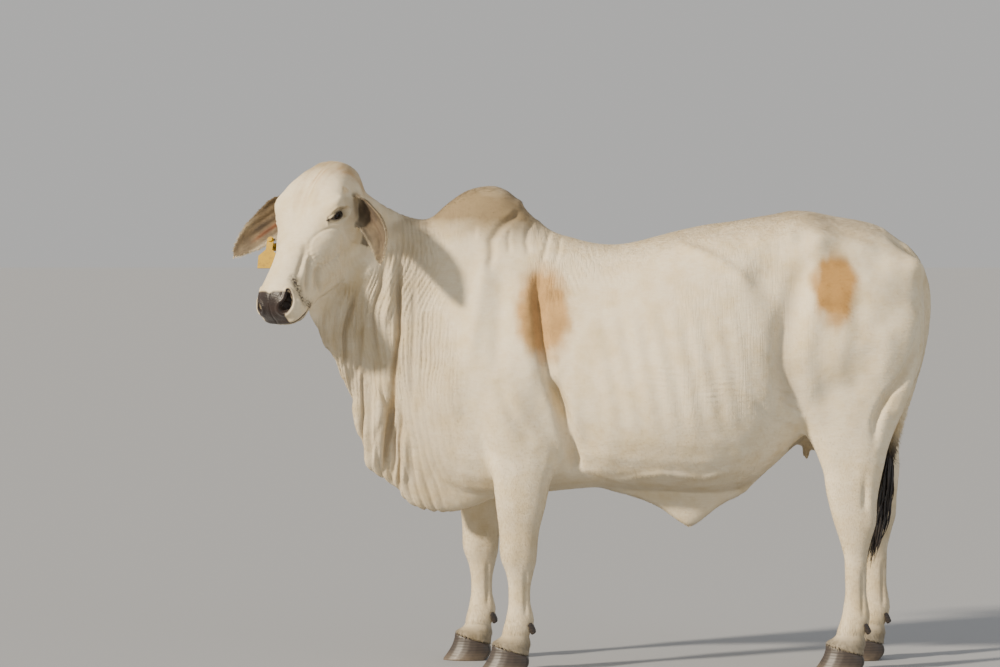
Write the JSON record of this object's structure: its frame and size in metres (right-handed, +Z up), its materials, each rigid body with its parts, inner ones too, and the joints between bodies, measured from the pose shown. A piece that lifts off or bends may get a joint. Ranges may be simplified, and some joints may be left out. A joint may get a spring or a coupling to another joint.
{
  "type": "brahman cattle",
  "caption": "Standing Brahman cow with shoulder hump, hanging ears, pleated dewlap, loose navel fold and an ear tag, its head turned to its left",
  "frame": {"origin": "on the floor, under the middle of the bounding box", "axes": "+Z up, the animal faces -X, its left flank at -Y"},
  "size_m": [2.072, 0.6644, 1.4911],
  "materials": {
    "hide": "short flat cream hair, greyer over the hump and neck, with two tan patches on the left",
    "long_hair": "long black tail hair in flat locks",
    "horn": "dark grey-brown horn with growth rings",
    "eye": "wet dark brown eye",
    "tag_plastic": "yellow moulded plastic, dusty, with nothing printed on it"
  },
  "bodies": {
    "root": {"trunk": "hide", "hump": "hide", "neck": "hide", "head": "hide", "eye_left": "eye", "ear_left": "hide", "foreleg_left": "hide", "claw_fore_left_outer": "horn", "dewclaw_fore_left_outer": "horn", "claw_fore_left_inner": "horn", "dewclaw_fore_left_inner": "horn", "hindleg_left": "hide", "claw_hind_left_outer": "horn", "dewclaw_hind_left_outer": "horn", "claw_hind_left_inner": "horn", "dewclaw_hind_left_inner": "horn", "eye_right": "eye", "ear_right": "hide", "foreleg_right": "hide", "claw_fore_right_outer": "horn", "dewclaw_fore_right_outer": "horn", "claw_fore_right_inner": "horn", "dewclaw_fore_right_inner": "horn", "hindleg_right": "hide", "claw_hind_right_outer": "horn", "dewclaw_hind_right_outer": "horn", "claw_hind_right_inner": "horn", "dewclaw_hind_right_inner": "horn", "dewlap": "hide", "navel_flap": "hide", "udder": "hide", "tail": "hide", "tail_switch": "long_hair", "ear_tag": "tag_plastic", "ear_tag_button": "tag_plastic"}
  },
  "joints": []
}
